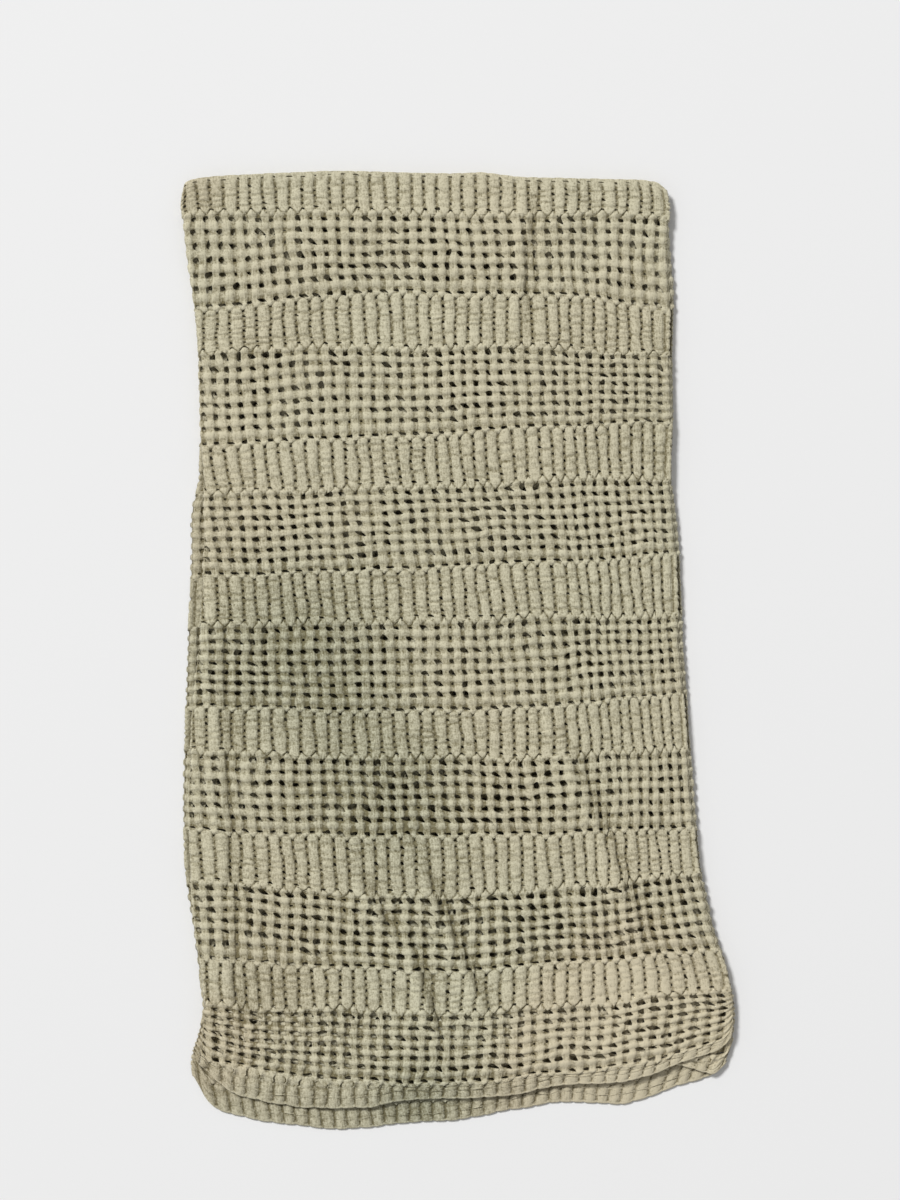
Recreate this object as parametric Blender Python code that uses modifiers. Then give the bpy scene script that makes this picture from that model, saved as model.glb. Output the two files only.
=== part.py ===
"""Open weave throw blanket, folded in three across its width and lying flat."""

import math

import bmesh
import bpy
import numpy as np

# The object stands in metres with +Z up. Its lowest face lies at z = 0, the upper hem is at +Y,
# the lower hems are at -Y, and the origin is under the middle of the folded blanket.
MM = 0.001
CLOTH = 2.6 * MM            # thickness of the woven cloth
LAYER = 4.4 * MM            # from the middle of one layer to the middle of the next
TOP_LAYER = 2               # the top panel's layer, with the lowest one as 0
UPPER_HEM_AT = 396.7 * MM   # the upper hem's place along Y, with the folded blanket centred
CENTRE_LINE = 0.85 * MM     # the centre line's place along X, likewise
RIBS_PER_COLUMN = 2         # ribs between two columns of the mesh
RIB_RISE = 0.55 * MM        # a rib's crest above, and the valley below, the open weave
BAND_RIM = 3.0 * MM         # where the ribs of a band end and the flat weave starts
PLEAT_STEPS = 6             # facets round a fold of one layer on the next
OPEN_ROWS = 3               # rows of the mesh in a band of open weave
HEM_ROOM = 14.0 * MM        # least length of the last band of ribs, over the hem
HIDDEN_SHORT = 3.0 * MM     # the most that a hidden hem stops short of the top panel's

RIBBED = "ribbed"           # mark on the faces in a band of ribs
RIBS_OVER = "ribs over"     # ribs between a point and the top panel's selvedge

# Columns of the grid. The top panel's margins lie beside its selvedge and its fold and have no ribs.
TOP_COLUMNS = 19
TOP_MARGINS = (4.0 * MM, 10.0 * MM)
HIDDEN_COLUMNS = 10         # in the middle panel and in the lowest one, closer together at the sides

# Sides of the folded blanket in mm, from its centre line, by the distance down from the upper hem:
# the top panel's fold and selvedge, and the selvedge and fold of the lowest panel.
# down, fold, selvedge, lower selvedge, lower fold
SIDES = (
    (0.0, -226.0, 170.5, -224.0, 169.5),
    (8.0, -230.0, 172.4, -229.0, 171.6),
    (20.0, -231.6, 173.4, -231.2, 173.2),
    (36.0, -230.7, 172.4, -230.2, 173.9),
    (66.0, -227.8, 171.8, -226.8, 174.7),
    (107.0, -221.2, 173.6, -220.2, 178.4),
    (149.0, -217.9, 173.3, -216.9, 176.4),
    (207.0, -216.4, 175.5, -215.4, 177.0),
    (257.0, -213.7, 173.9, -217.0, 175.5),
    (282.0, -213.5, 176.2, -222.4, 179.0),
    (323.0, -213.7, 179.3, -222.0, 182.6),
    (389.0, -217.9, 181.6, -224.9, 184.9),
    (456.0, -224.3, 187.2, -227.0, 190.5),
    (522.0, -227.0, 191.7, -229.1, 195.0),
    (580.0, -225.8, 198.0, -228.7, 201.3),
    (630.0, -221.9, 208.7, -221.2, 212.1),
    (663.0, -216.9, 220.4, -217.0, 223.7),
    (696.0, -213.7, 226.2, -212.9, 229.5),
    (717.0, -216.2, 225.6, -216.4, 228.9),
    (755.0, -220.7, 220.4, -223.4, 223.7),
    (795.0, -222.0, 214.0, -221.0, 219.0),
)

# Upper hem in mm: how far it is drawn back, by the distance across.
# across, drawn back
UPPER_HEM = (
    (-232.0, 20.0),
    (-228.0, 13.0),
    (-221.0, 8.5),
    (-205.0, 5.5),
    (-166.0, 2.5),
    (-103.0, 0.0),
    (-8.0, 2.5),
    (17.0, 1.2),
    (50.0, 5.4),
    (150.0, 7.5),
    (163.0, 9.5),
    (169.0, 13.5),
    (174.0, 21.0),
)
UPPER_HEM_REACH = 75.0 * MM  # the drawn-back hem's line has died out this far down

# Lower hems in mm, by the distance across: the top panel's and the lowest panel's.
# across, top hem down, lower hem down
HEMS = (
    (-219.0, 731.0, 752.0),
    (-214.0, 741.0, 767.0),
    (-203.0, 754.0, 778.0),
    (-189.0, 766.5, 784.5),
    (-165.0, 771.5, 789.0),
    (-132.0, 777.0, 792.5),
    (-99.0, 778.5, 794.5),
    (-74.0, 778.0, 792.0),
    (-49.0, 770.5, 789.3),
    (-8.0, 768.4, 787.3),
    (42.0, 766.9, 779.5),
    (83.0, 757.0, 772.5),
    (137.0, 756.0, 773.8),
    (158.0, 750.3, 767.3),
    (175.0, 742.8, 761.1),
    (200.0, 733.7, 753.6),
    (218.0, 721.0, 744.0),
    (224.0, 712.0, 736.0),
)

# Bands of the weave in mm down from the upper hem, at five places across. A band of ribs starts at
# the first line and stops at the second, and so on; the last one ends at the lower hem.
BAND_PLACES = (-210.0, -108.0, 0.0, 108.0, 192.0)
# left, half left, middle, half right, right
BANDS = (
    (5.0, 5.0, 5.0, 5.0, 5.0),
    (31.5, 33.5, 34.0, 34.0, 33.5),
    (112.0, 102.5, 98.5, 104.0, 113.0),
    (149.0, 146.0, 145.5, 149.5, 154.0),
    (225.0, 221.0, 215.0, 208.0, 201.0),
    (267.0, 262.5, 259.0, 256.5, 255.0),
    (335.0, 331.5, 327.0, 320.5, 314.5),
    (378.0, 374.5, 371.5, 369.5, 368.5),
    (443.0, 446.0, 444.5, 438.0, 429.5),
    (480.0, 486.0, 487.5, 484.0, 477.5),
    (545.0, 550.0, 551.0, 548.0, 542.0),
    (589.0, 599.0, 601.0, 593.0, 581.0),
    (651.0, 660.0, 662.0, 656.0, 645.0),
    (691.0, 697.0, 698.0, 694.0, 681.0),
    (737.0, 757.0, 755.0, 744.0, 716.0),
)

# Swells of the folded blanket and creases of the top panel in mm: the middle of each, its half
# lengths along and across, its turn from +Y in degrees, and its height.
# name, across, down, half length, half width, turn, height
SWELLS = (
    ("under the upper hem", -30.0, 130.0, 150.0, 190.0, 0.0, 2.8),
    ("in the middle", 10.0, 400.0, 220.0, 170.0, 0.0, 4.0),
    ("over the lower hem", 20.0, 670.0, 140.0, 170.0, 10.0, 3.4),
)
CREASES = (
    ("trough under the hem", 58.0, 95.0, 90.0, 14.0, -3.0, -1.5),
    ("ridge beside it", 118.0, 50.0, 60.0, 16.0, 0.0, 1.0),
    ("trough at the left", -190.0, 540.0, 190.0, 14.0, 2.0, -1.2),
    ("short crease", -26.0, 680.0, 48.0, 11.0, 16.0, -1.9),
    ("long crease", 0.0, 640.0, 78.0, 12.0, 24.0, -1.8),
    ("side crease", 128.0, 560.0, 110.0, 13.0, 22.0, -1.6),
    ("hollow at the corner", -160.0, 695.0, 34.0, 38.0, 60.0, -1.0),
)
SWELL_EDGE = 34.0 * MM  # how far in from the sides and hems the layers have risen
CREASE_SINKS = 0.6      # of the room over the next layer, the most that a crease takes


def table(rows, column, at):
    """One column of a table in mm, read at a distance in metres, in metres."""
    places = [row[0] for row in rows]
    return np.interp(at / MM, places, [row[column] for row in rows]) * MM


def sides(down):
    """The sides at a distance down, at the middle of the cloth: the top panel's fold and
    selvedge, then the lowest panel's selvedge and fold."""
    fold, selvedge, lower_selvedge, lower_fold = (table(SIDES, side, down) for side in range(1, 5))
    return fold + CLOTH / 2, selvedge, lower_selvedge, lower_fold - CLOTH / 2


def columns():
    """Columns of the grid from the top panel's selvedge to the lowest one's: the stretch that each
    lies in, how far along it, and how many ribs lie before it."""
    places = [("top margin", 0.0, 0), ("top margin", TOP_MARGINS[0], 0)]
    places += [("top", k / TOP_COLUMNS, k * RIBS_PER_COLUMN) for k in range(TOP_COLUMNS + 1)]
    places += [("fold margin", TOP_MARGINS[0], 0), ("fold margin", 0.0, 0)]
    places += [("left turn", k / PLEAT_STEPS, 0) for k in range(1, PLEAT_STEPS)]
    even = [k / HIDDEN_COLUMNS for k in range(HIDDEN_COLUMNS + 1)]
    hidden = [share - math.sin(2 * math.pi * share) / (2 * math.pi) for share in even]
    places += [("middle", share, 0) for share in hidden]
    places += [("right turn", k / PLEAT_STEPS, 0) for k in range(1, PLEAT_STEPS)]
    places += [("lowest", share, 0) for share in hidden]
    return places


def section(stretch, along, fold, selvedge, lower_selvedge, lower_fold):
    """Where a column lies across the folded blanket, and on which layer."""
    reach = LAYER / 2
    if stretch == "top margin":
        return selvedge - along, 2.0
    if stretch == "top":
        start, end = selvedge - TOP_MARGINS[1], fold + reach + TOP_MARGINS[1]
        return start + along * (end - start), 2.0
    if stretch == "fold margin":
        return fold + reach + along, 2.0
    if stretch == "left turn":
        angle = math.pi * along
        return fold + reach - reach * math.sin(angle), 1.5 + 0.5 * math.cos(angle)
    if stretch == "middle":
        return fold + reach + along * (lower_fold - fold - 2 * reach), 1.0
    if stretch == "right turn":
        angle = math.pi * along
        return lower_fold - reach + reach * math.sin(angle), 0.5 + 0.5 * math.cos(angle)
    start = lower_fold - reach
    return start + along * (lower_selvedge - start), 0.0


def hem_lines(stretch, along, across):
    """How far down a column's two hems lie. The middle panel's are hidden, a little short of the
    top panel's, and the lowest panel's lower hem is the longest."""
    top, lower = table(HEMS, 1, across), table(HEMS, 2, across)
    if stretch == "middle":
        hidden = HIDDEN_SHORT * math.sin(math.pi * along)
        return hidden, top - hidden + along ** 8 * (lower - top)
    if stretch == "right turn":
        return 0.0, lower
    if stretch == "lowest":
        return HIDDEN_SHORT * along, lower
    return 0.0, top


def lines():
    """Lines of the weave as rows of the grid, from the lower hem to the upper hem, which is -1.
    A band of ribs lies above each odd whole number, and open weave above the rest."""
    numbers = [-1]
    for number in range(len(BANDS)):
        numbers.append(number)
        if number % 2 and number < len(BANDS) - 1:
            numbers += [number + k / OPEN_ROWS for k in range(1, OPEN_ROWS)]
    return (numbers + [len(BANDS)])[::-1]


def line_down(number, across, upper_hem, lower_hem):
    """How far down a line of the weave runs at a distance across, between the two hems."""
    if number < 0:
        return upper_hem
    if number >= len(BANDS):
        return lower_hem
    low, high = (
        min(np.interp(across / MM, BAND_PLACES, BANDS[line]) * MM, lower_hem - HEM_ROOM)
        for line in (math.floor(number), math.ceil(number)))
    return low + (number - math.floor(number)) * (high - low)


def relief(shapes, across, down):
    """Height of the swells or creases of a table at one place."""
    height = 0.0
    for _, middle_x, middle_down, long, wide, turn, rise in shapes:
        angle = math.radians(turn)
        x, y = across - middle_x * MM, down - middle_down * MM
        lengthwise = (y * math.cos(angle) + x * math.sin(angle)) / (long * MM)
        crosswise = (x * math.cos(angle) - y * math.sin(angle)) / (wide * MM)
        height += rise * MM * math.exp(-lengthwise ** 4 - crosswise ** 2)
    return height


def lift(across, down, layer, edges):
    """How far a layer stands over its place in a flat stack: most at the top, nothing below."""
    inward = min(across - edges[0], edges[1] - across, down, edges[2] - down)
    rise = min(max(inward / SWELL_EDGE, 0.0), 1.0)
    swell = relief(SWELLS, across, down) * rise * (2 - rise)
    height = swell * (layer / TOP_LAYER) ** 2
    if layer > TOP_LAYER - 1:
        room = LAYER - CLOTH + height - swell * ((TOP_LAYER - 1) / TOP_LAYER) ** 2
        crease = relief(CREASES, across, down) * rise * (2 - rise)
        height += max(crease, -room * CREASE_SINKS) * (layer - TOP_LAYER + 1)
    return height


def place(column, line):
    """Where a point of the cloth's middle lies in the folded blanket."""
    stretch, along, _ = column
    down = 0.0
    for _ in range(4):
        fold, selvedge, lower_selvedge, lower_fold = sides(down)
        across, layer = section(stretch, along, fold, selvedge, lower_selvedge, lower_fold)
        upper_hem, lower_hem = hem_lines(stretch, along, across)
        down = line_down(line, across, upper_hem, lower_hem)
    drawn = table(UPPER_HEM, 1, across) * max(1 - down / UPPER_HEM_REACH, 0.0) ** 2
    height = CLOTH / 2 + layer * LAYER + lift(across, down, layer, (fold, selvedge, lower_hem))
    return across + CENTRE_LINE, UPPER_HEM_AT - down - drawn, height


def material(name, colour, roughness):
    made = bpy.data.materials.new(name)
    made.use_nodes = True
    shader = made.node_tree.nodes["Principled BSDF"]
    shader.inputs["Base Color"].default_value = (*colour, 1)
    shader.inputs["Roughness"].default_value = roughness
    shader.inputs["Metallic"].default_value = 0.0
    return made


def folded_cloth(collection, name):
    """The cloth's middle surface as one grid, folded, then given its thickness."""
    across, along = columns(), lines()
    sheet = bmesh.new()
    bmesh.ops.create_grid(sheet, x_segments=len(across) - 1, y_segments=len(along) - 1, size=1)
    ribbed = sheet.faces.layers.int.new(RIBBED)
    ribs_over = sheet.verts.layers.float.new(RIBS_OVER)
    sheet.verts.ensure_lookup_table()
    for number, vertex in enumerate(sheet.verts):
        row, column = divmod(number, len(across))
        vertex.co = place(across[column], along[row])
        vertex[ribs_over] = across[column][2]
    for number, face in enumerate(sheet.faces):
        row, column = divmod(number, len(across) - 1)
        in_ribs = along[row] % 2 == 1
        face[ribbed] = in_ribs and across[column][0] == across[column + 1][0] == "top"
    bmesh.ops.recalc_face_normals(sheet, faces=sheet.faces)
    mesh = bpy.data.meshes.new(name)
    sheet.to_mesh(mesh)
    sheet.free()
    blanket = bpy.data.objects.new(name, mesh)
    collection.objects.link(blanket)
    solid = blanket.modifiers.new("cloth thickness", "SOLIDIFY")
    solid.thickness = CLOTH
    solid.offset = 0
    solid.use_even_offset = True
    return blanket


def runs_across(edge):
    along = edge.verts[1].co - edge.verts[0].co
    return abs(along.x) > abs(along.y)


def raise_ribs(blanket):
    """The cloth as a mesh, level where it lies, with bands of upright ribs on the face that shows:
    a valley between two ribs, a crest on each."""
    depsgraph = bpy.context.evaluated_depsgraph_get()
    blanket.data = bpy.data.meshes.new_from_object(blanket.evaluated_get(depsgraph))
    blanket.modifiers.clear()
    cloth = bmesh.new()
    cloth.from_mesh(blanket.data)
    for vertex in cloth.verts:
        vertex.co.z = max(vertex.co.z, 0.0)
    ribbed = cloth.faces.layers.int[RIBBED]
    ribs_over = cloth.verts.layers.float[RIBS_OVER]
    bands = [face for face in cloth.faces if face[ribbed] and face.normal.z > 0.5]
    bmesh.ops.inset_region(
        cloth, faces=bands, thickness=BAND_RIM, use_boundary=True, use_even_offset=True)
    for face in set(cloth.faces) - set(bands):
        face[ribbed] = False
    level = {edge for face in bands for edge in face.edges if runs_across(edge)}
    bmesh.ops.subdivide_edges(cloth, edges=list(level), cuts=2 * RIBS_PER_COLUMN - 1)
    for vertex in {vertex for face in cloth.faces if face[ribbed] for vertex in face.verts}:
        vertex.co.z -= RIB_RISE * math.cos(2 * math.pi * vertex[ribs_over])
    bmesh.ops.triangulate(cloth, faces=[face for face in cloth.faces if len(face.verts) > 4])
    cloth.to_mesh(blanket.data)
    cloth.free()


def main():
    for thing in list(bpy.data.objects):
        bpy.data.objects.remove(thing)
    collection = bpy.data.collections.new("throw blanket")
    bpy.context.scene.collection.children.link(collection)
    blanket = folded_cloth(collection, "folded_blanket")
    raise_ribs(blanket)
    blanket.data.materials.append(material("cotton", (0.34, 0.31, 0.22), 0.95))


main()
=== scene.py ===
"""Open weave throw blanket folded in three, lying on a pale floor in soft light."""

import math

import bmesh
import bpy
import numpy as np
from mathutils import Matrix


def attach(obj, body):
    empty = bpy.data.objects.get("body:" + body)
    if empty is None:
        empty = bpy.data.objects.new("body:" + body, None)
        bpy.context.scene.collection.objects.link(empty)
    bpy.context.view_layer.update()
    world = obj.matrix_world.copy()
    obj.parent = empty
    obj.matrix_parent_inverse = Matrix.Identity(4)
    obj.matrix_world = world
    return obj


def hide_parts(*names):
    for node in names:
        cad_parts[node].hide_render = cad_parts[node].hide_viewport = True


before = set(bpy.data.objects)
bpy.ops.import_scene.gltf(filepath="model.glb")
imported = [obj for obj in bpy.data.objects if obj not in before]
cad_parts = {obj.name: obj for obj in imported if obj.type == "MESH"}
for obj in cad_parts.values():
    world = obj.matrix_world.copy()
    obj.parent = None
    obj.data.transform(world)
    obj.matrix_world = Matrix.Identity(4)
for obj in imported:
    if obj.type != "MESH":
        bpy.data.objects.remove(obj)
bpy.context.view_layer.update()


# The folded cloth
# One cotton cloth, woven in one go with bands of ribs across open waffle weave. It is folded in
# three across its width: the top panel turns under at the left, the middle one at the right, and
# the lowest one ends in a loose selvedge. The tables below are in mm.
MM = 0.001
CLOTH = 2.6               # thickness of the woven cloth
LAYER = 4.4               # from the middle of one layer to the middle of the next
TURN = LAYER / 2          # radius of a fold, at the middle of the cloth
TUCKED = 6.0              # how far a panel's net goes on under its fold
DEEP = math.pi * TURN + TUCKED      # the same, measured from where the fold begins
SMOOTH_FOLD = 0.45        # how much of the weave's relief is drawn flat round a fold
LOWEST, MIDDLE, TOP = 0, 1, 2       # the layers
UPPER_HEM_AT = 396.7      # the upper hem's place along Y
CENTRE_LINE = 0.85        # the centre line's place along X
COLUMN = 11.04            # from one column of the open weave to the next
SELVEDGE_AT = -0.36       # the top panel's selvedge, in columns from its first one
PANEL_COLUMNS = 40        # columns in the middle panel and in the lowest one

# down, fold, selvedge, lower selvedge, lower fold
SIDES = (
    (0, -230, 170.5, -224, 169.5),
    (8, -233, 172.4, -229, 171.6),
    (20, -233.8, 173.4, -231.2, 173.2),
    (36, -231.9, 172.4, -230.2, 173.9),
    (66, -228.8, 171.8, -226.8, 175.5),
    (107, -222.4, 173.6, -220.2, 178.9),
    (149, -219, 173.3, -216.9, 177.3),
    (207, -217.3, 175.5, -215.4, 178),
    (257, -214.6, 173.9, -217, 176.4),
    (282, -214.2, 176.2, -223.4, 179.9),
    (323, -214.4, 179.3, -223.2, 183.8),
    (389, -218.4, 181.6, -226.1, 186),
    (456, -224.8, 187.2, -228.2, 191),
    (522, -227.5, 191.7, -230.2, 195.8),
    (580, -225.8, 198, -228.7, 201.3),
    (630, -221.9, 208.7, -221.2, 212.1),
    (663, -216.9, 220.4, -217, 223.7),
    (696, -213.7, 226.2, -212.9, 229.5),
    (717, -216.2, 224.6, -217.4, 228.4),
    (737, -218.5, 219.6, -223.6, 224),
    (755, -218.7, 211.4, -222, 215.4),
    (795, -216, 202, -212, 206),
)

# across, drawn back at the upper hem
UPPER_HEM = (
    (-234, 18), (-230, 10.5), (-222, 6.8), (-205, 4.6), (-166, 2.5),
    (-103, 0), (-8, 2.5), (17, 1.2), (50, 5.4), (150, 7.5),
    (163, 9.5), (169, 13.5), (174, 21),
)
UPPER_HEM_REACH = 75.0    # the drawn-back hem's line has died out this far down

# across, top hem down, lower hem down
HEMS = (
    (-223, 731, 746), (-216, 741, 765.5), (-204, 754, 778.5),
    (-189, 765.5, 783), (-165, 771.5, 789), (-132, 777, 792.5),
    (-99, 778.5, 794.5), (-74, 778, 792), (-49, 770.5, 789.3),
    (-8, 768.4, 787.3), (42, 766.9, 779.5), (83, 757, 772.5),
    (137, 756, 773.8), (158, 750.3, 767.3), (175, 742.8, 761.1),
    (200, 733.7, 753.6), (215, 728.5, 747), (221, 724, 740),
    (225, 719, 733.5), (228, 712, 724), (232, 698, 706),
)

# down, and the places across of every tenth column of the top panel
COLUMN_LINES = (
    (20, 66.8, -39.4, -152.3, -262),
    (122, 72, -35.3, -146, -256),
    (237, 76.8, -30, -139.9, -250),
    (350, 89, -18, -127, -237),
    (465, 98.4, -9.5, -122, -233),
    (575, 106, -3, -115.8, -227),
    (680, 110.8, 0, -109, -220),
    (762, 109, -2, -111, -221),
)

# Lines between the bands, down at five places across: left, half left, middle, half right, right.
BAND_PLACES = (-210, -108, 0, 108, 192)
BAND_LINES = (
    (0, 0, 0, 0, 0),
    (5.5, 5.5, 5.5, 5.5, 5.5),
    (31.5, 33.5, 34, 34, 33.5),
    (115, 105.5, 101.5, 107, 116),
    (149, 146, 145.5, 149.5, 154),
    (228, 224, 218, 211, 204),
    (267, 262.5, 259, 256.5, 255),
    (338, 334.5, 330, 323.5, 317.5),
    (378, 374.5, 371.5, 369.5, 368.5),
    (446, 449, 447.5, 441, 432.5),
    (480, 486, 487.5, 484, 477.5),
    (548, 553, 554, 551, 545),
    (589, 599, 601, 593, 581),
    (654, 663, 665, 659, 648),
    (691, 697, 698, 694, 681),
    (735, 758, 757, 750, 734),
)
# across, height of the last row of the weave at the lower hem, least height of the last ribs
HEM_ROWS = (
    (50, 7.5, 4), (150, 4, 1.8),
)
LOWEST_HEM_ROWS = (7, 17)    # the same at the lowest panel's hem: last row, and it with ribs
LOWEST_DRIFTS = (560, 190)   # down from here, over this far, its bands drift to its own hem
# The middle panel's hem is short at the left. From here across, over this far, it comes out to
# just short of the lowest panel's, and most of that at the right.
MIDDLE_HEM_FROM, MIDDLE_HEM_OVER, MIDDLE_HEM_STEEP, MIDDLE_HEM_SHORT = -222, 432, 7, 0.5
# across, how far the top panel's hem sinks toward the lowest panel
HEM_DROOPS = (
    (-200, 5.2), (-110, 4.8), (-60, 3.4), (40, 3.2),
    (137, 2.5), (158, 1.5), (175, 0.9), (200, 0.5),
)
DROOP_REACH = 26.0        # how far in from its hem the top panel begins to sink
STRAY = {"open": 1, "ribs": 0.45}  # how readily a row of each weave strays sideways
# how far the yarn strays across and down: in its wander, from cell to cell, and in its slow drift
STRAYS_ACROSS = (0.9, 0.9, 2.2)
STRAYS_DOWN = (1.2, 1, 2.2)
CALM_COLUMNS = 3          # columns beside a panel's first and last that stray less
CALM_EDGE = 8.0           # how far in from the hems the rows stray less

# Weave and rows of each band, from the upper hem down. The first and the last are the hems' rims.
BANDS = (
    ("ribs", 1), ("ribs", 5), ("open", 7), ("ribs", 8), ("open", 8), ("ribs", 7), ("open", 8),
    ("ribs", 8), ("open", 8), ("ribs", 7), ("open", 7), ("ribs", 8), ("open", 7), ("ribs", 6),
    ("open", 7), ("ribs", 2), ("ribs", 1),
)

# name, across, down, half length, half width, turn from +Y in degrees, height. A crease has a
# lower ridge along its left side.
SWELLS = (
    ("under the upper hem", -30, 130, 150, 190, 0, 2.8),
    ("in the middle", 10, 400, 220, 170, 0, 4),
    ("over the lower hem", 20, 670, 140, 170, 10, 3.4),
)
CREASES = (
    ("trough under the hem", 58, 75, 70, 6, -3, -2.3),
    ("ridge beside it", 122, 45, 45, 8, 0, 1.2),
    ("trough at the left", -190, 540, 190, 7, 2, -2),
    ("short crease", -26, 680, 40, 5.5, 16, -3.4),
    ("long crease", 0, 640, 72, 6, 24, -3.3),
    ("upper crease", -64, 612, 30, 5.5, 30, -2.6),
    ("side crease", 128, 560, 100, 7, 22, -2.2),
    ("hollow at the corner", -160, 695, 34, 30, 60, -1.6),
)
CREASE_DRAWS = 1.05       # how far a crease draws the columns beside it in, over its depth
CREASE_PAINTED_SHADING = 0.42        # how far a crease's relief counts as height in the finish: painted shade in its trough, painted light on its ridge
RIDGE_SHARE = 0.55        # height of a crease's ridge over the depth of its trough
RIDGE_OFF = 1.7           # how far to the left of the trough it lies, in half widths
PUCKER = 0.9              # height of the small puckers all over the top panel
SMALL_PUCKER = 0.7        # share of that in the smaller ones among them
PUCKERS_FROM = 300.0      # keeps their places across over zero
MIDDLE_RISES = 0.45       # share of a swell that the middle panel has too
SWELL_EDGE = 34.0         # how far in from the sides and hems the layers have risen
CREASE_SINKS = 0.75       # of the room over the next layer, the most that a crease takes


def smoothed(places, values, reach):
    """A table's values with its corners rounded, as a function of the place."""
    grid = np.arange(places[0] - 60.0, places[-1] + 60.0, 1.0)
    offsets = np.linspace(-reach, reach, 9)
    rounded = np.mean([np.interp(grid + offset, places, values) for offset in offsets], axis=0)
    return lambda at: np.interp(at, grid, rounded)


def columns_of(rows, reach):
    """Each column of a table after the first, as a smoothed function of the first."""
    places, *values = zip(*rows)
    return [smoothed(places, column, reach) for column in values]


fold_at, selvedge_at, lower_selvedge_at, lower_fold_at = columns_of(SIDES, 7.0)
upper_drawn, = columns_of(UPPER_HEM, 3.0)
top_hem_at, lower_hem_at = columns_of(HEMS, 5.0)
column_lines = columns_of(COLUMN_LINES, 40.0)
hem_row, last_ribs = columns_of(HEM_ROWS, 20.0)
hem_droop, = columns_of(HEM_DROOPS, 12.0)
band_lines = [smoothed(BAND_PLACES, line, 40.0) for line in BAND_LINES]


def rows_before(band):
    """How many rows of the weave lie above a band."""
    return sum(rows for _, rows in BANDS[:band])


def unevenness(seed, cells):
    """Smooth unevenness from -1 to 1, with its bumps about so many cells of the weave apart."""
    size = 160
    values = np.random.default_rng(seed).uniform(-1, 1, (size, size))

    def at(column, row):
        x, y = column / cells + 8, row / cells + 8
        whole_x, whole_y = np.floor(x).astype(int), np.floor(y).astype(int)
        share_x, share_y = x - whole_x, y - whole_y
        share_x, share_y = share_x ** 2 * (3 - 2 * share_x), share_y ** 2 * (3 - 2 * share_y)
        left, right = whole_x % size, (whole_x + 1) % size
        near, far = whole_y % size, (whole_y + 1) % size
        first = values[left, near] * (1 - share_x) + values[right, near] * share_x
        second = values[left, far] * (1 - share_x) + values[right, far] * share_x
        return first * (1 - share_y) + second * share_y

    return at


puckers = unevenness(51, 38.0), unevenness(52, 22.0)


def relief(shapes, across, down, ridge=0.0):
    """Height of the swells or creases of a table, and how far its troughs draw the cloth in."""
    height, drawn = np.zeros_like(across), np.zeros_like(across)
    for _, middle_x, middle_down, long, wide, turn, rise in shapes:
        angle = math.radians(turn)
        x, y = across - middle_x, down - middle_down
        lengthwise = (y * math.cos(angle) + x * math.sin(angle)) / long
        crosswise = (x * math.cos(angle) - y * math.sin(angle)) / wide
        profile = np.exp(-crosswise ** 2) - ridge * np.exp(-(crosswise + RIDGE_OFF) ** 2)
        height += rise * np.exp(-lengthwise ** 4) * profile
        drawn += rise * np.exp(-lengthwise ** 4 - crosswise ** 2 / 2) * crosswise
    return height, drawn


def lift(across, down, layer, lower_hem):
    """How far a layer stands over its place in a flat stack: most at the top, nothing below."""
    edges = across - fold_at(down), selvedge_at(down) - across, down, lower_hem - down
    rise = np.clip(np.minimum.reduce(edges) / SWELL_EDGE, 0, 1)
    rise = rise * (2 - rise)
    swell = relief(SWELLS, across, down)[0] * rise
    room = LAYER - CLOTH + swell * (1 - MIDDLE_RISES)
    crease, _ = relief(CREASES, across, down, RIDGE_SHARE)
    large, small = (pucker(across + PUCKERS_FROM, down) for pucker in puckers)
    crease += PUCKER * (large + SMALL_PUCKER * small)
    crease = np.maximum(crease * rise, -room * CREASE_SINKS)
    share = np.interp(layer, (LOWEST, MIDDLE, TOP), (0, MIDDLE_RISES, 1))
    return swell * share + crease * np.clip(layer - MIDDLE, 0, 1)


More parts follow.
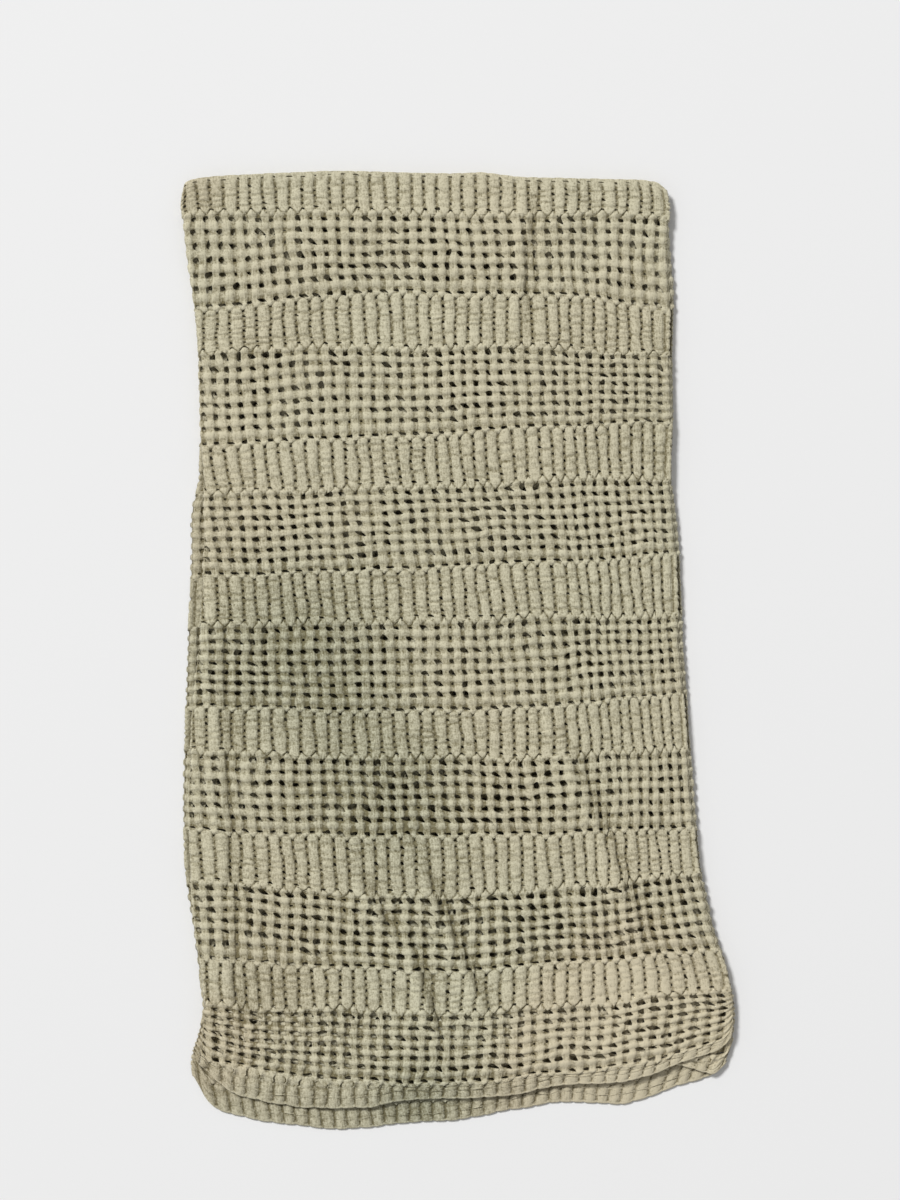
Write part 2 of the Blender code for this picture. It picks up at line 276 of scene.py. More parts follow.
class Panel:
    """One third of the cloth: its layer, where its columns run, and which hem it ends in."""

    def __init__(self, layer):
        self.layer = layer
        self.drift = unevenness(71 + layer, 7.0), unevenness(81 + layer, 7.0)
        self.wander = unevenness(11 + layer, 3.0), unevenness(21 + layer, 3.0)
        self.jitter = unevenness(31 + layer, 1.0), unevenness(41 + layer, 1.0)

    def across(self, column, down):
        """Where a column runs, as if the cloth went on flat past the panel's fold."""
        if self.layer == TOP:
            first = selvedge_at(down) + SELVEDGE_AT * COLUMN
            knots = [first] + [line(down) for line in column_lines]
            tens = np.clip(np.floor(column / 10).astype(int), 0, 3)
            low, high = np.choose(tens, knots[:-1]), np.choose(tens, knots[1:])
            return low + (column / 10 - tens) * (high - low)
        if self.layer == MIDDLE:
            start, end = fold_at(down) + TURN, lower_fold_at(down) - CLOTH / 2 - TURN
            return start + column / PANEL_COLUMNS * (end - start)
        start, end = lower_fold_at(down) - CLOTH / 2 - TURN, lower_selvedge_at(down)
        return start + column / (PANEL_COLUMNS - SELVEDGE_AT) * (end - start)

    def hem(self, across):
        """How far down the panel's lower hem lies."""
        if self.layer == LOWEST:
            return lower_hem_at(across)
        if self.layer == TOP:
            return top_hem_at(across)
        share = np.clip((across - MIDDLE_HEM_FROM) / MIDDLE_HEM_OVER, 0, 1) ** MIDDLE_HEM_STEEP
        short = top_hem_at(across) - DROOP_REACH
        return short + share * (lower_hem_at(across) - MIDDLE_HEM_SHORT - short)

    def line(self, number, across):
        """How far down a line between two bands runs."""
        hem = self.hem(across)
        if number == len(BANDS):
            return hem
        if number == len(BANDS) - 1:
            return hem - (LOWEST_HEM_ROWS[0] if self.layer == LOWEST else hem_row(across))
        down = band_lines[number](across)
        if self.layer == LOWEST:
            share = np.clip((down - LOWEST_DRIFTS[0]) / LOWEST_DRIFTS[1], 0, 1)
            down = down + (hem - top_hem_at(across)) * share
            return np.minimum(down, hem - LOWEST_HEM_ROWS[1])
        return np.minimum(down, hem - hem_row(across) - last_ribs(across))

    def strayed(self, way, sizes, column, row):
        """How far the yarn strays from its place: way is 0 for across and 1 for down."""
        wander, jitter, drift = sizes
        shift = wander * self.wander[way](column, row) + jitter * self.jitter[way](column, row)
        return shift + drift * self.drift[way](column, row)

    def place(self, column, row, band, height):
        """Places in metres of points of a band: their columns, rows within the band from 0 to 1,
        and heights over the cloth's middle. Past a loose edge the face rolls round it."""
        rolled_side, on_cloth = np.zeros_like(column), column
        if self.layer == TOP:
            rolled_side = np.clip((SELVEDGE_AT - column) / (1 + SELVEDGE_AT), 0, 1)
            on_cloth = np.maximum(column, SELVEDGE_AT)
        if self.layer == LOWEST:
            past = column - PANEL_COLUMNS + SELVEDGE_AT
            rolled_side = -np.clip(past / (1 + SELVEDGE_AT), 0, 1)
            on_cloth = np.minimum(column, PANEL_COLUMNS - SELVEDGE_AT)
        rolled_hem = np.clip(row - 1, 0, 1) - np.clip(-row, 0, 1)
        share = np.clip(row, 0, 1)
        weave, rows = BANDS[band]
        whole = rows_before(band) + share * rows
        slow = sum(count * STRAY[kind] for kind, count in BANDS[:band])
        slow = slow + share * rows * STRAY[weave]
        shift_x = self.strayed(0, STRAYS_ACROSS, column, slow)
        shift_y = self.strayed(1, STRAYS_DOWN, column, whole)
        inside = np.minimum(column + 0.5, PANEL_COLUMNS - column)
        shift_x *= np.clip(inside / CALM_COLUMNS, 0, 1)
        # The sides depend on the place down, and the band lines on the place across, so both are
        # found by turns, from the band's line in the middle.
        down = np.full_like(column, BAND_LINES[min(band, len(BAND_LINES) - 1)][2])
        for _ in range(4):
            flat = self.across(on_cloth, down) + shift_x
            if self.layer == TOP:
                edge = fold_at(down) + CLOTH / 2 + TURN
                past = np.maximum(edge - flat, 0)
            elif self.layer == MIDDLE:
                edge = lower_fold_at(down) - CLOTH / 2 - TURN
                past = np.maximum(flat - edge, 0)
            else:
                edge, past = flat, np.zeros_like(flat)
            angle = np.minimum(past / TURN, math.pi)
            under = np.maximum(past - math.pi * TURN, 0)
            side = -1 if self.layer == TOP else 1
            across = np.where(past > 0, edge + side * (TURN * np.sin(angle) - under), flat)
            start, end = self.line(band, across), self.line(band + 1, across)
            down = start + share * (end - start)
        inside = np.minimum(down, self.hem(across) - down + CALM_EDGE / 2)
        down = down + shift_y * np.clip(inside / CALM_EDGE, 0, 1)
        layer = self.layer - 0.5 + 0.5 * np.cos(angle)
        height = height * (1 - SMOOTH_FOLD * np.sin(np.minimum(angle, math.pi / 2)))
        drawn = upper_drawn(across) * np.maximum(1 - down / UPPER_HEM_REACH, 0) ** 2
        side_turn, hem_turn = math.pi * rolled_side, math.pi * rolled_hem
        normal_x = side * np.sin(angle) + np.sin(side_turn)
        normal_y = -np.sin(hem_turn) * np.cos(side_turn)
        normal_z = np.cos(angle) * np.cos(side_turn) * np.cos(hem_turn)
        middle = CLOTH / 2 + layer * LAYER + lift(across, down, layer, self.hem(across))
        if self.layer == TOP:
            near_hem = np.clip(1 - (self.hem(across) - down) / DROOP_REACH, 0, 1)
            middle -= hem_droop(across) * near_hem ** 2 * (past <= 0)
            across = across + CREASE_DRAWS * relief(CREASES, across, down)[1]
        x = across + CENTRE_LINE + height * normal_x
        y = UPPER_HEM_AT - down - drawn + height * normal_y
        z = np.maximum(middle + height * normal_z, 0)
        return np.stack([x, y, z], axis=1) * MM, past


# The weave
# Columns of soft yarn bundles run down the cloth and thin weft links cross them, with a raised
# pillow at each crossing and a hole in each mesh. In the bands of ribs the bundles lie between the
# columns, close together, with short rungs in the gaps. One cell of the weave is one hole.
SPOKES = 24
# from a cell's border to its hole's rim: in the top panel, and in those that hardly show
RINGS = {"open": (0.0, 0.45, 0.76, 1.0), "ribs": (0.0, 0.6, 0.86, 1.0)}
LOWER_RINGS = {"open": (0.0, 0.72, 1.0), "ribs": (0.0, 0.82, 1.0)}
HOLES = {"open": (0.205, 0.20), "ribs": (0.07, 0.17)}    # half width and half height, in cells
# the same in the last row of a band, and how far down its cell a hole lies there
LAST_HOLES = {"open": (0.23, 0.13, 0.17), "ribs": (0.14, 0.10, -0.12)}
FIRST_OPEN_LOWER = 0.07   # how far down its cell a hole lies in the first row of open weave
HEM_SLIT = (0.035, 0.16)  # half width and half height of a slit in the lower hem's rows
NET_COLUMNS = 43          # columns of a net that runs on round a fold
WELD = 0.001              # how far apart the points of two cells may be and be one, in cells
SEWN_WITHIN = 0.02 * MM   # the same where two nets of a panel meet


def marked_mesh():
    """An empty mesh and the marks of a cell's points: their spoke, how far they lie toward the
    hole's rim, and how far down its wall."""
    mesh = bmesh.new()
    marks = mesh.verts.layers
    return mesh, marks.float_vector.new("spoke"), marks.float.new("toward"), marks.float.new("drop")


def as_object(name, mesh):
    """A new object of a bmesh, which is freed."""
    made = bpy.data.meshes.new(name)
    mesh.to_mesh(made)
    mesh.free()
    return bpy.data.objects.new(name, made)


def spoke_starts(count):
    """Points on a unit square's border, evenly spaced, anticlockwise from a corner."""
    side = count // 4
    steps = [k / side - 0.5 for k in range(side)]
    points = [(step, -0.5) for step in steps] + [(0.5, step) for step in steps]
    return points + [(-step, 0.5) for step in steps] + [(-0.5, -step) for step in steps]


def cell_object(name, rings, spokes, walled, closed=False):
    """One cell as rings of faces from its border to the rim of its hole, and down its wall. A
    closed cell has a floor to its hole, as where the yarn is matted; in the lowest panel these
    floors stand where the shaded floor under the cloth would show, and the painted shade by height
    makes them dark."""
    starts = spoke_starts(spokes)
    mesh, spoke, toward, drop = marked_mesh()
    loops = []
    levels = [(ring, 0.0) for ring in rings] + ([(1.0, 1.0)] if walled else [])
    for ring, fall in levels:
        loop = []
        for x, y in starts:
            inward = 1 - 0.6 * ring - 0.1 * fall
            vertex = mesh.verts.new((x * inward, y * inward, 0))
            vertex[spoke] = (x, y, 0)
            vertex[toward], vertex[drop] = ring, fall
            loop.append(vertex)
        loops.append(loop)
    for outer, inner in zip(loops, loops[1:]):
        for k in range(spokes):
            after = (k + 1) % spokes
            mesh.faces.new((outer[k], outer[after], inner[after], inner[k]))
    if closed:
        middle = mesh.verts.new((0, 0, 0))
        middle[toward], middle[drop] = 1, 1
        for k in range(spokes):
            mesh.faces.new((loops[-1][k], loops[-1][(k + 1) % spokes], middle))
    return as_object(name, mesh)


def plain_cell(name):
    """Half a cell without a hole, for the edges of the cloth."""
    mesh, _, _, _ = marked_mesh()
    rows = [[mesh.verts.new((x / 6 - 0.25, y / 6 - 0.5, 0)) for x in range(4)] for y in range(7)]
    for low, high in zip(rows, rows[1:]):
        for k in range(3):
            mesh.faces.new((low[k], low[k + 1], high[k + 1], high[k]))
    return as_object(name, mesh)


CELLS = {
    "hidden": cell_object("hidden_cell", (0.0, 1.0), 8, False),
    "closed": cell_object("closed_cell", (0.0,), 8, False, True),
    "plain": plain_cell("plain_cell"),
}
for weave in HOLES:
    for kind, rings in (("top ", RINGS), ("", LOWER_RINGS), ("closed ", LOWER_RINGS)):
        closed = kind == "closed "
        CELLS[kind + weave] = cell_object(kind + weave, rings[weave], SPOKES, True, closed)


def net_tree():
    """Geometry Nodes that lay out one cell in columns and rows and weld them into a net."""
    tree = bpy.data.node_groups.new("woven_net", "GeometryNodeTree")
    face = tree.interface
    for name, kind in (
            ("Cell", "NodeSocketObject"), ("Columns", "NodeSocketInt"), ("Rows", "NodeSocketInt"),
            ("Column Width", "NodeSocketFloat"), ("First", "NodeSocketVector"),
            ("Weld", "NodeSocketFloat"), ("Finish", "NodeSocketMaterial")):
        face.new_socket(name, in_out="INPUT", socket_type=kind)
    face.new_socket("Net", in_out="OUTPUT", socket_type="NodeSocketGeometry")
    nodes, links = tree.nodes, tree.links
    given = nodes.new("NodeGroupInput").outputs

    def math_node(operation, first, second):
        made = nodes.new("ShaderNodeMath")
        made.operation = operation
        links.new(first, made.inputs[0])
        links.new(second, made.inputs[1])
        return made.outputs[0]

    def linked(kind, output=0, **values):
        """An output of a new node that has links to its named inputs."""
        made = nodes.new(kind)
        for name, value in values.items():
            links.new(value, made.inputs[name])
        return made.outputs[output]

    index = linked("GeometryNodeInputIndex")
    column = math_node("MODULO", index, given["Columns"])
    row = math_node("DIVIDE", math_node("SUBTRACT", index, column), given["Columns"])
    across = math_node("MULTIPLY", column, given["Column Width"])
    placed = nodes.new("ShaderNodeVectorMath")
    links.new(linked("ShaderNodeCombineXYZ", X=across, Y=row), placed.inputs[0])
    links.new(given["First"], placed.inputs[1])
    count = math_node("MULTIPLY", given["Columns"], given["Rows"])
    points = linked("GeometryNodePoints", Count=count, Position=placed.outputs[0])
    cell = linked("GeometryNodeObjectInfo", "Geometry", Object=given["Cell"])
    instances = linked("GeometryNodeInstanceOnPoints", Points=points, Instance=cell)
    realized = linked("GeometryNodeRealizeInstances", Geometry=instances)
    welded = linked("GeometryNodeMergeByDistance", Geometry=realized, Distance=given["Weld"])
    finished = linked("GeometryNodeSetMaterial", Geometry=welded, Material=given["Finish"])
    links.new(finished, nodes.new("NodeGroupOutput").inputs[0])
    return tree


NET = net_tree()


def woven_net(cell, columns, rows, first, finish, width=1.0):
    """The flat net of one band or strip: its points, faces and marks, in cells."""
    holder = bpy.data.objects.new("net", bpy.data.meshes.new("net"))
    bpy.context.scene.collection.objects.link(holder)
    modifier = holder.modifiers.new("net", "NODES")
    modifier.node_group = NET
    given = {
        "Cell": cell, "Columns": columns, "Rows": rows, "Column Width": width,
        "First": first, "Weld": WELD, "Finish": finish}
    for item in NET.interface.items_tree:
        if item.name in given:
            modifier[item.identifier] = given[item.name]
    depsgraph = bpy.context.evaluated_depsgraph_get()
    mesh = bpy.data.meshes.new_from_object(holder.evaluated_get(depsgraph))
    bpy.data.objects.remove(holder)
    return mesh


def step(value):
    """A smooth step from 0 to 1."""
    value = np.clip(value, 0, 1)
    return value * value * (3 - 2 * value)


def crown(share, flat=2.0):
    """A rounded top over a share of its half width from 0 to 1; a larger flat is squarer."""
    return np.sqrt(np.clip(1 - np.abs(share) ** flat, 0, 1))


PILLOW = 2.3              # height of a pillow over the cloth's middle
LINK = 0.25               # height of the thin link between two pillows beside each other
COLUMN_TOP = 0.45         # height of a column between two pillows
RIB = 1.45                # height of a rib
GROOVE = 1.3              # depth of the groove across a rib at a rung
RUNG = 5.8                # from one rung between two ribs to the next
FLOOR = -1.3              # underside of the cloth
NECK_HALF = 4.1           # half width of a column between two pillows
LINK_HALF = 0.31          # half width of a link, in rows
PILLOW_HALF = 4.0         # half width of a pillow
PILLOW_TALL = 0.33        # its half height, in rows
RIB_HALF = 4.75           # half width of a rib
GROOVE_HALF = 1.2         # half width of the groove across it
RUNG_HALF = 1.9           # half width of a rung
RUNG_TOP = 0.7            # height of a rung over the underside
# how much narrower or lower all that is where the holes are dashes
NECK_LESS, LINK_LESS, PILLOW_LESS, LINK_LOWER = 1.3, 0.07, 0.035, 0.7
SQUARE_YARN, SQUARE_PILLOW, SQUARE_RIB = 7, 5, 4.6      # how flat their tops are
START_TOP, START_SIDES = -1.4, 3.2  # where a rib's rounded start lies, and how much later its sides
END_POINT, END_SIDES = 3.0, 6.0     # how far its pointed end goes on, and how much less its sides
STARTS_OVER = 1.8         # length over which the ribs rise from the open weave
ENDS_OVER = 2.2           # length over which they fall to it
ENDS_SINK = 2.4           # depth of the line round the ribs' ends, and half of it at their tops
LOOSE_ROW = 11.0          # from row to row of the open weave that goes on between the ribs' ends

pillow_height = unevenness(61, 0.5)
pillow_size = unevenness(62, 0.5)
groove_depth = unevenness(63, 0.5)
link_height = unevenness(64, 0.5)
dash_patches = unevenness(14, 9.0)


def dashed(column, whole):
    """How far the holes are wide dashes with narrow necks between: more so down the cloth."""
    return step((whole - 53) / 52 + 0.45 * dash_patches(column, whole))


def open_height(column, whole, pitch):
    """Height of the open weave: whole counts the rows, which are so many mm apart."""
    near_column, near_row = np.round(column), np.round(whole)
    off_column, off_row = (column - near_column) * COLUMN, (whole - near_row) * pitch
    size = 1 + 0.14 * pillow_size(near_column, near_row)
    top = PILLOW + 0.5 * pillow_height(near_column, near_row)
    link_top = LINK + 0.5 * link_height(np.floor(column), near_row)
    apart = dashed(near_column, whole)
    link_top -= LINK_LOWER * apart
    neck = NECK_HALF - NECK_LESS * apart
    link_half = (LINK_HALF - LINK_LESS * apart) * pitch
    tall = (PILLOW_TALL - PILLOW_LESS * apart) * pitch
    bundle = FLOOR + (COLUMN_TOP - FLOOR) * crown(off_column / neck, SQUARE_YARN)
    link = FLOOR + (link_top - FLOOR) * crown(off_row / link_half, SQUARE_YARN)
    corner = np.abs(off_column / PILLOW_HALF) ** SQUARE_PILLOW
    corner = (corner + np.abs(off_row / tall) ** SQUARE_PILLOW) ** (1 / SQUARE_PILLOW)
    pillow = FLOOR + (top - FLOOR) * crown(corner / size, SQUARE_PILLOW)
    return np.maximum.reduce([bundle, link, pillow])


def ribs_height(column, rung, first, rows):
    """Height of the ribs: rung counts the rungs down from the band's start, its first row."""
    rib = np.floor(column)
    off_rib = (column - rib - 0.5) * COLUMN
    near = np.clip(np.round(rung), 1, rows - 1)
    off_rung = np.abs(rung - near) * RUNG
    depth = GROOVE * np.clip(0.5 + 0.7 * groove_depth(rib, first + near), 0, 1)
    groove = depth * np.exp(-(off_rung / GROOVE_HALF) ** 2)
    top = RIB - groove + 0.3 * pillow_height(rib, first + near)
    height = FLOOR + (top - FLOOR) * crown(off_rib / RIB_HALF, SQUARE_RIB)
    return np.maximum(height, FLOOR + RUNG_TOP * crown(off_rung / RUNG_HALF))


def weave_height(column, row, band, tall):
    """Height of the face over the cloth's middle: row runs from 0 to 1 down a band that is so
    many mm tall. The ribs start in rounded tops, and end in points between the columns."""
    weave, rows = BANDS[band]
    before = rows_before(band)
    after = before + rows
    rib = np.floor(column)
    off_rib = np.abs(column - rib - 0.5) * COLUMN
    from_start, from_end = row * tall, (1 - row) * tall
    starts, ends, at_ends = before, after, row > 0.5
    if weave == "open":
        starts, ends, at_ends = after, before, row < 0.5
    starts_at = START_TOP + START_SIDES * (off_rib / (COLUMN / 2)) ** 2 + pillow_height(rib, starts)
    ends_at = END_POINT - END_SIDES * off_rib / (COLUMN / 2) + 1.4 * pillow_size(rib, ends)
    if weave == "open":
        ribs = 1 - step((from_start - ends_at) / ENDS_OVER + 0.5)
        ribs = np.maximum(ribs, step(0.5 - (from_end + starts_at) / STARTS_OVER))
        loose = open_height(column, before + row * rows, tall / rows)
        close = ribs_height(column, np.full_like(column, -1.0), after, 3)
    else:
        ribs = np.ones_like(column)
        if band > 0 and BANDS[band - 1][0] == "open":
            ribs = step(0.5 + (from_start - starts_at) / STARTS_OVER)
        if band < len(BANDS) - 1 and BANDS[band + 1][0] == "open":
            ribs = ribs * (1 - step((-from_end - ends_at) / ENDS_OVER + 0.5))
        edge = np.where(from_start < from_end, before, after)
        off_edge = np.where(from_start < from_end, from_start, -from_end)
        loose = open_height(column, edge + off_edge / LOOSE_ROW, LOOSE_ROW)
        close = ribs_height(column, row * rows, before, rows)
    sink = ENDS_SINK * 4 * ribs * (1 - ribs) * np.where(at_ends, 1.0, 0.5)
    return (1 - ribs) * loose + ribs * close - sink


hole_size = unevenness(5, 0.5)
hole_matted = unevenness(6, 1.3)
hole_shape = unevenness(7, 0.5)
hole_slant = unevenness(8, 0.5)
hole_lobe = unevenness(9, 0.5)
hole_turn = unevenness(10, 0.5)
LAST_OPEN_ROW = rows_before(len(BANDS) - 2)     # the hem's rows below it have slits


def hole_rim(weave, rows, column, row, whole):
    """Half width and half height of a cell's hole, and how far its middle lies down its cell."""
    wide, high = HOLES[weave]
    size = 1 + 0.24 * hole_size(column, whole)
    size *= 1 - 0.5 * step((hole_matted(column, whole) - 0.4) / 0.2)
    shape = 1 + 0.16 * hole_shape(column, whole)
    if weave == "open":
        flat = dashed(column, whole)
        wide, high = wide * (1 + 0.42 * flat), high * (1 + 0.06 * flat)
    wide, high, lower = wide * size * shape, high * size / shape, np.zeros_like(column)
    last, first = row > rows - 1, row < 1
    last_wide, last_high, last_lower = LAST_HOLES[weave]
    if whole.min() > LAST_OPEN_ROW:
        wide = np.full_like(column, HEM_SLIT[0])
        high = HEM_SLIT[1] + 0.06 * hole_shape(column, whole)
    elif weave == "open":
        wide = np.where(last, last_wide + 0.05 * hole_size(column, whole), wide)
        high = np.where(last, last_high + 0.04 * hole_shape(column, whole), high)
        lower = np.where(last, last_lower, np.where(first, FIRST_OPEN_LOWER, 0))
    else:
        wide = wide * (1 + 0.55 * hole_slant(column, whole))
        high = high * (0.9 + 0.3 * hole_shape(column, whole))
        high = high * (1 - 0.5 * step((hole_turn(column, whole) - 0.2) / 0.3))
        wide = np.where(last, last_wide + 0.07 * hole_shape(column, whole), wide)
        high = np.where(last, last_high + 0.05 * hole_size(column, whole), high)
        lower = np.where(last, last_lower + 0.1 * hole_turn(column, whole), 0)
    return wide, high, lower


def point_values(mesh, name, width, kind):
    """One of a mesh's point attributes as an array."""
    values = np.empty(len(mesh.vertices) * width, dtype=np.float32)
    mesh.attributes[name].data.foreach_get(kind, values)
    return values.reshape(-1, width).astype(float)


def shaped_cells(band, half, column, row, spoke, toward):
    """Where a net's points lie, in columns and rows, when its holes have their uneven shapes."""
    weave, rows = BANDS[band]
    middle_x = np.floor(column - half) + 0.5 + half
    middle_y = np.floor(row) + 0.5
    whole = rows_before(band) + middle_y
    wide, high, lower = hole_rim(weave, rows, middle_x, middle_y, whole)
    spoke_x, spoke_y = spoke[:, 0], spoke[:, 1]
    length = np.maximum((spoke_x ** 4 + spoke_y ** 4) ** 0.25, 1e-6)
    rim_x, rim_y = spoke_x / length, spoke_y / length
    # A hole that is wide enough has lobes, tapers to one side and leans.
    turn, angle = hole_turn(middle_x, whole), np.arctan2(rim_y, rim_x)
    slant = (0.4 + 0.4 * hole_slant(middle_x, whole)) * np.minimum(high / 0.2, 1)
    slant *= np.minimum(wide / 0.1, 1)
    lobes = 0.3 * np.cos(angle - math.pi * turn) + 0.18 * np.cos(2 * angle + 2 * (math.pi * turn))
    reach = 1 + lobes * hole_lobe(middle_x, whole) * (wide > 0.05)
    rim_x, rim_y = rim_x * reach, rim_y * reach
    rim_y = rim_y * (1 - (0.3 + 0.35 * turn) * rim_x)
    rim_x = middle_x + wide * (rim_x - slant * rim_y)
    rim_y = middle_y + lower + high * rim_y
    inside = toward > 0
    column = np.where(inside, (middle_x + spoke_x) * (1 - toward) + rim_x * toward, column)
    row = np.where(inside, (middle_y + spoke_y) * (1 - toward) + rim_y * toward, row)
    return column, row


RIM = 1.25                # height of the face at a hem
RIM_EVEN = 0.75           # how much of the weave's relief is gone there


def evened(panel, band, column, share, tall):
    """How far the relief is evened out: all the way at a hem's rim, and where a band that is
    elsewhere so many mm tall gets narrow."""
    rim = np.zeros_like(share)
    if band == 0:
        rim = np.clip((0.9 - share) / 0.4, 0, 1)
    if band == len(BANDS) - 1:
        rim = np.clip((share - 0.6) / 0.4, 0, 1)
    rough = panel.across(column, np.full_like(column, panel.line(band, np.zeros(1))[0]))
    squeezed = 1 - (panel.line(band + 1, rough) - panel.line(band, rough)) / tall
    return np.maximum(rim, np.clip(squeezed * 1.6 - 0.2, 0, 1))


def band_piece(panel, band, cell, finish, first_column, columns, over_hem=0):
    """One stretch of a band of a panel: a net of cells, shaped and laid on the folded form.
    over_hem is -1 or 1 for the plain row that rolls over the upper or lower hem."""
    weave, rows = BANDS[band]
    half = 0.5 if weave == "ribs" and cell != "plain" else 0.0
    width = 0.5 if cell == "plain" else 1.0
    first_row = {0: 0.5, -1: -0.5, 1: rows + 0.5}[over_hem]
    first = (first_column + width / 2, first_row, 0)
    cell_of_band = CELLS[cell.replace("fine", weave)]
    mesh = woven_net(cell_of_band, columns, 1 if over_hem else rows, first, finish, width)
    points = point_values(mesh, "position", 3, "vector")
    spoke = point_values(mesh, "spoke", 3, "vector")
    toward = point_values(mesh, "toward", 1, "value")[:, 0]
    drop = point_values(mesh, "drop", 1, "value")[:, 0]
    column, row = shaped_cells(band, half, points[:, 0], points[:, 1], spoke, toward)
    share = row / rows
    if over_hem:
        share = row + 1 - rows if over_hem > 0 else row
    tall = np.mean(panel.line(band + 1, np.zeros(1)) - panel.line(band, np.zeros(1)))
    height = weave_height(column, np.clip(share, 0, 1), band, tall)
    height = np.maximum(height, -CLOTH / 2) * (1 - drop) - CLOTH / 2 * drop
    even = evened(panel, band, column, share, tall)
    height += RIM_EVEN * even * (1 - drop) * (RIM - height)
    places, past = panel.place(column, share, band, height)
    # The face's height, which the finish turns into painted shade in its hollows and painted light
    # on its tops.
    rise = mesh.attributes.new("rise", "FLOAT", "POINT")
    across, down = places[:, 0] / MM - CENTRE_LINE, UPPER_HEM_AT - places[:, 1] / MM
    # The top panel's creases darken their troughs and lighten their ridges in the colour: painted
    # shade and painted light.
    painted_crease_shading = CREASE_PAINTED_SHADING * (panel.layer == TOP) * relief(CREASES, across, down, RIDGE_SHARE)[0]
    rise.data.foreach_set("value", (height + painted_crease_shading).astype(np.float32))
    mesh.vertices.foreach_set("co", places.astype(np.float32).ravel())
    uv = mesh.uv_layers.new(name="weave")
    corners = np.empty(len(mesh.loops), dtype=np.int32)
    mesh.loops.foreach_get("vertex_index", corners)
    flat = np.stack([column, rows_before(band) + row], axis=1)[corners]
    uv.data.foreach_set("uv", flat.astype(np.float32).ravel())
    return mesh, past


def stretches(panel, band, fine_from):
    """The nets that make up one band of a panel: which cell, its first column and how many."""
    ribs = BANDS[band][0] == "ribs"
    half, plain, last = (0.5, 3, PANEL_COLUMNS - 1) if ribs else (0.0, 2, PANEL_COLUMNS)
    if panel.layer == TOP:
        return [("plain", -1.0, plain), ("top fine", half, NET_COLUMNS)]
    if panel.layer == MIDDLE:
        fine = NET_COLUMNS - fine_from
        return [("hidden", half, fine_from), ("fine", fine_from + half, fine)]
    # The lowest panel's holes all have floors: dark sheets of painted shade where the shaded floor
    # would show through.
    return [
        ("closed", half, fine_from), ("closed fine", fine_from + half, last - fine_from),
        ("plain", last + half, plain)]


def sewn(name, panel, bands, finish, fine_from=0):
    """Some bands of a panel welded into one piece, with what lies deep inside the fold cut off."""
    whole = bmesh.new()
    for band in bands:
        rows = [0]
        if band == 0:
            rows.append(-1)
        if band == len(BANDS) - 1:
            rows.append(1)
        for over_hem in rows:
            fine = 0 if panel.layer == LOWEST and band >= len(BANDS) - 2 else fine_from
            for cell, first, columns in stretches(panel, band, fine):
                if over_hem:
                    cell, columns = "plain", columns * (1 if cell == "plain" else 2)
                elif band >= len(BANDS) - 2 and cell in ("fine", "top fine"):
                    cell = "closed fine"
                if columns < 1:
                    continue
                mesh, past = band_piece(panel, band, cell, finish, first, columns, over_hem)
                strip = bmesh.new()
                strip.from_mesh(mesh)
                deep = [vertex for vertex, far in zip(strip.verts, past > DEEP) if far]
                bmesh.ops.delete(strip, geom=deep, context="VERTS")
                strip.to_mesh(mesh)
                strip.free()
                whole.from_mesh(mesh)
                bpy.data.meshes.remove(mesh)
    bmesh.ops.remove_doubles(whole, verts=whole.verts, dist=SEWN_WITHIN)
    bmesh.ops.triangulate(whole, faces=whole.faces)
    for face in whole.faces:
        face.smooth = True
    piece = as_object(name, whole)
    piece.data.materials.clear()
    piece.data.materials.append(finish)
    if sum(polygon.normal.z for polygon in piece.data.polygons) < 0:
        piece.data.flip_normals()
    bpy.context.scene.collection.objects.link(piece)
    return piece


# The cotton
# Undyed cotton yarn, grey beige with a faint green cast, matt and a little fuzzy. Each bundle shows
# three or four strands side by side, and the tone drifts in soft patches over the cloth. Shade and
# light are painted into the colour too: by the face's height, along the creases, in a few placed
# patches, and darker on the layers under others.
class Socket:
    """A shader socket that can stand in sums; a sum adds its Math nodes."""

    def __init__(self, shader, socket):
        self.shader, self.socket = shader, socket

    def sum(self, operation, *values):
        return self.shader.node("Math", {"operation": operation}, *values)

    def __add__(self, other):
        return self.sum("ADD", self, other)

    def __sub__(self, other):
        return self.sum("SUBTRACT", self, other)

    def __rsub__(self, other):
        return self.sum("SUBTRACT", other, self)

    def __mul__(self, other):
        return self.sum("MULTIPLY", self, other)

    __radd__ = __add__
    __rmul__ = __mul__


class Shader:
    """The node tree of one material."""

    def __init__(self, name):
        self.material = bpy.data.materials.new(name)
        self.material.use_nodes = True
        self.tree = self.material.node_tree
        self.surface = self.tree.nodes["Principled BSDF"]

    def put(self, socket, value):
        if isinstance(value, Socket):
            self.tree.links.new(value.socket, socket)
        else:
            socket.default_value = value

    def node(self, kind, settings, *values, output=0, **named):
        """A node of a kind, with its settings, then the values or links of its sockets."""
        made = self.tree.nodes.new("ShaderNode" + kind)
        stops = settings.pop("stops", None)
        for name, value in settings.items():
            setattr(made, name, value)
        if stops:
            for element, (place, colour) in zip(made.color_ramp.elements, stops):
                element.position, element.color = place, (*colour, 1)
        for number, value in enumerate(values):
            self.put(made.inputs[number], value)
        for name, value in named.items():
            self.put(made.inputs[name.replace("_", " ")], value)
        return Socket(self, made.outputs[output])

    def eased(self, value, low, high):
        """From 0 where a value is low to 1 where it is high, eased at both ends."""
        smooth = {"interpolation_type": "SMOOTHSTEP"}
        return self.node("MapRange", smooth, value, low, high, 0.0, 1.0)

    def tinted(self, colour, amount, tint):
        """A colour multiplied by a tint, as far as the amount from 0 to 1 says."""
        made = self.node("Mix", {"data_type": "RGBA", "blend_type": "MULTIPLY"}, amount, output=2)
        for number, value in zip(MIX_COLOURS, (colour, tint)):
            self.put(made.socket.node.inputs[number], value)
        return made

    def finish(self, **values):
        """The material, with these values or links on its surface's own sockets."""
        for name, value in values.items():
            self.put(self.surface.inputs[name.replace("_", " ")], value)
        return self.material


MIX_COLOURS = (6, 7)      # the two colour inputs of a Mix node
